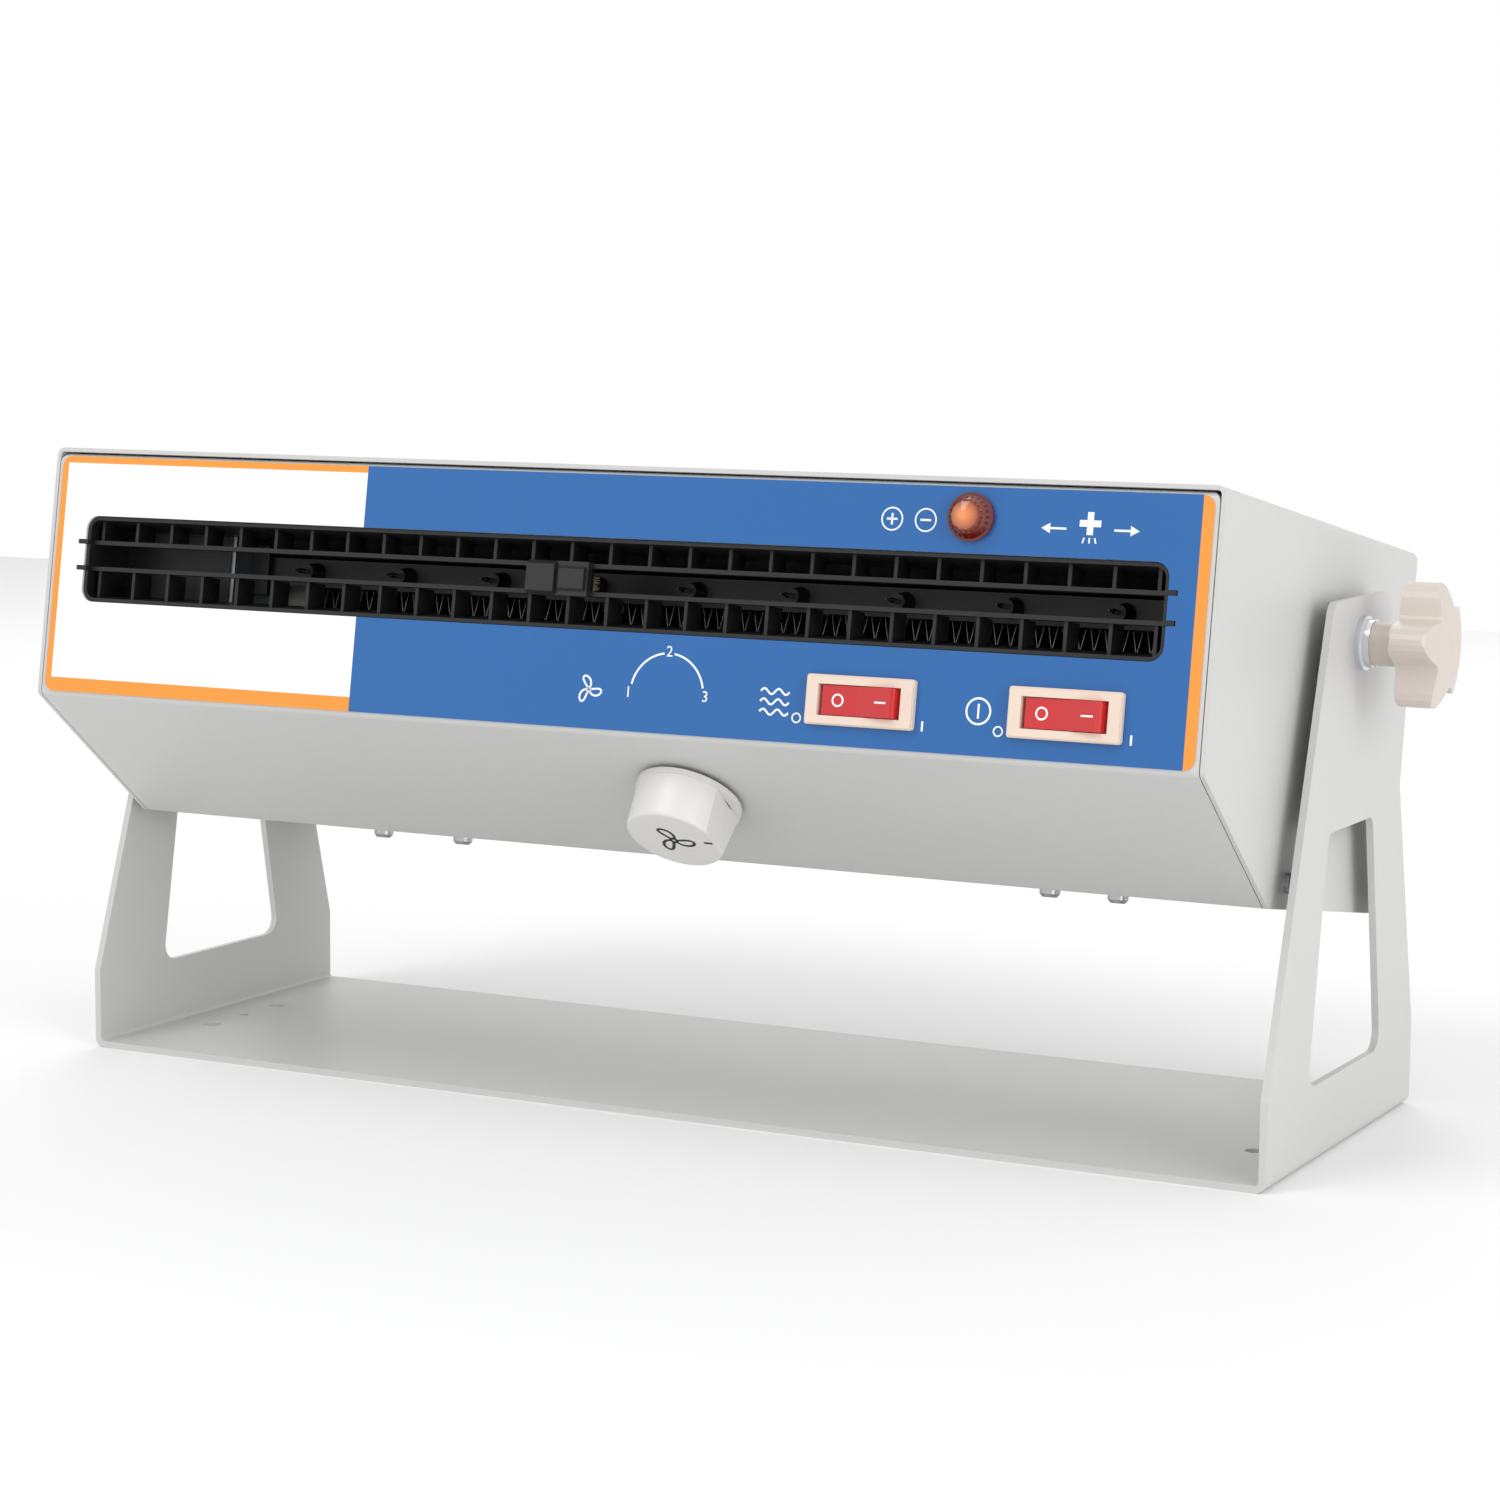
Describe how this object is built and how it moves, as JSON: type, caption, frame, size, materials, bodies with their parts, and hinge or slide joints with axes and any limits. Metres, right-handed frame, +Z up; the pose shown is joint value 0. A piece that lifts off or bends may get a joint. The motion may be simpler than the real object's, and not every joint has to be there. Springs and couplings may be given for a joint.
{
  "type": "ionizing air blower",
  "caption": "Bench ionizing blower: a wide sheet-metal housing with a long outlet grille and switches, tilting in a U-shaped stand on clamp knobs.",
  "frame": {"origin": "centre of the base plate's underside, on the surface it stands on", "axes": "+X to the right along the outlet, seen from the front; +Y to the back; +Z up; the outlet faces -Y"},
  "size_m": [0.4246, 0.1763, 0.1831],
  "materials": {
    "paint": "light grey powder coat, slightly textured",
    "rubber": "matte black",
    "zinc": "zinc plated",
    "chrome": "polished",
    "ivory_plastic": "satin ivory moulding",
    "label_film": "printed film, blue with white and orange zones",
    "black_plastic": "fine satin moulding",
    "bristle": "stiff bristle",
    "steel": "turned steel",
    "white_plastic": "plain moulding",
    "sheet": "galvanised sheet",
    "wheel_plastic": "moulded blades",
    "brass": "plain",
    "aluminium": "mill finish",
    "filter_foam": "open foam",
    "knob_plastic": "satin light grey moulding",
    "cream_plastic": "satin cream moulding",
    "red_plastic": "translucent red moulding",
    "lens": "faceted amber red lens",
    "board": "green laminate"
  },
  "bodies": {
    "stand": {"stand_bracket": "paint"},
    "housing": {"left_spacer": "rubber", "right_spacer": "rubber", "left_pivot_nut": "zinc", "right_pivot_nut": "zinc", "chassis": "paint", "cover": "paint", "front_label": "label_film", "cover_screws": "zinc", "tray_screws": "zinc", "outlet_grille": "black_plastic", "emitter_bar": "black_plastic", "emitter_needles": "steel", "emitter_brackets": "white_plastic", "duct_blank": "black_plastic", "fan_scroll": "sheet", "fan_tongue": "sheet", "left_end_plate": "sheet", "right_end_plate": "sheet", "motor_body": "steel", "motor_cap": "sheet", "motor_screws": "zinc", "bearing_bush": "rubber", "bearing_sleeve": "brass", "heater_core": "aluminium", "heater_fins": "aluminium", "heater_frames": "white_plastic", "intake_filter": "filter_foam", "filter_clips": "sheet", "speed_switch": "black_plastic", "speed_nut": "zinc", "warm_switch": "cream_plastic", "power_switch": "cream_plastic", "switch_terminals": "brass", "lamp_lens": "lens", "lamp_body": "black_plastic", "lamp_nut": "white_plastic", "power_inlet": "black_plastic", "inlet_pins": "brass", "inlet_screws": "zinc", "high_voltage_module": "black_plastic", "control_board": "board", "board_parts": "black_plastic"},
    "left_clamp": {"left_clamp_knob": "ivory_plastic", "left_clamp_stud": "zinc", "left_clamp_washers": "chrome"},
    "right_clamp": {"right_clamp_knob": "ivory_plastic", "right_clamp_stud": "zinc", "right_clamp_washers": "chrome"},
    "fan_rotor": {"fan_wheel": "wheel_plastic", "fan_shaft": "steel"},
    "speed_control": {"speed_knob": "knob_plastic", "speed_spindle": "steel"},
    "warm_switch_rocker": {"warm_rocker": "red_plastic"},
    "power_switch_rocker": {"power_rocker": "red_plastic"},
    "point_cleaner": {"cleaner_slider": "black_plastic", "cleaner_brush": "bristle"}
  },
  "joints": [
    {"name": "housing_tilt", "type": "hinge", "parent": "stand", "child": "housing", "pos_m": [0, 0.005, 0.1375], "axis": [1, 0, 0], "range_deg": [-81, 99]},
    {"name": "left_clamp_turn", "type": "hinge", "parent": "housing", "child": "left_clamp", "pos_m": [-0.2, 0.005, 0.1375], "axis": [-1, 0, 0], "range_deg": [0, 360]},
    {"name": "right_clamp_turn", "type": "hinge", "parent": "housing", "child": "right_clamp", "pos_m": [0.2, 0.005, 0.1375], "axis": [1, 0, 0], "range_deg": [0, 360]},
    {"name": "fan_spin", "type": "hinge", "parent": "housing", "child": "fan_rotor", "pos_m": [0.02, 0.00463, 0.12237], "axis": [1, 0, 0], "continuous": true},
    {"name": "speed_turn", "type": "hinge", "parent": "housing", "child": "speed_control", "pos_m": [0.025, -0.07439, 0.0945], "axis": [0, -0.6259, -0.7799], "range_deg": [0, 180]},
    {"name": "warm_rock", "type": "hinge", "parent": "housing", "child": "warm_switch_rocker", "pos_m": [0.0856, -0.09225, 0.12435], "axis": [0, 0.1564, 0.9877], "range_deg": [0, 16]},
    {"name": "power_rock", "type": "hinge", "parent": "housing", "child": "power_switch_rocker", "pos_m": [0.1426, -0.09225, 0.12435], "axis": [0, 0.1564, 0.9877], "range_deg": [0, 16]},
    {"name": "cleaner_slide", "type": "slide", "parent": "housing", "child": "point_cleaner", "axis": [1, 0, 0], "range_m": [-0.147, 0.163]}
  ]
}
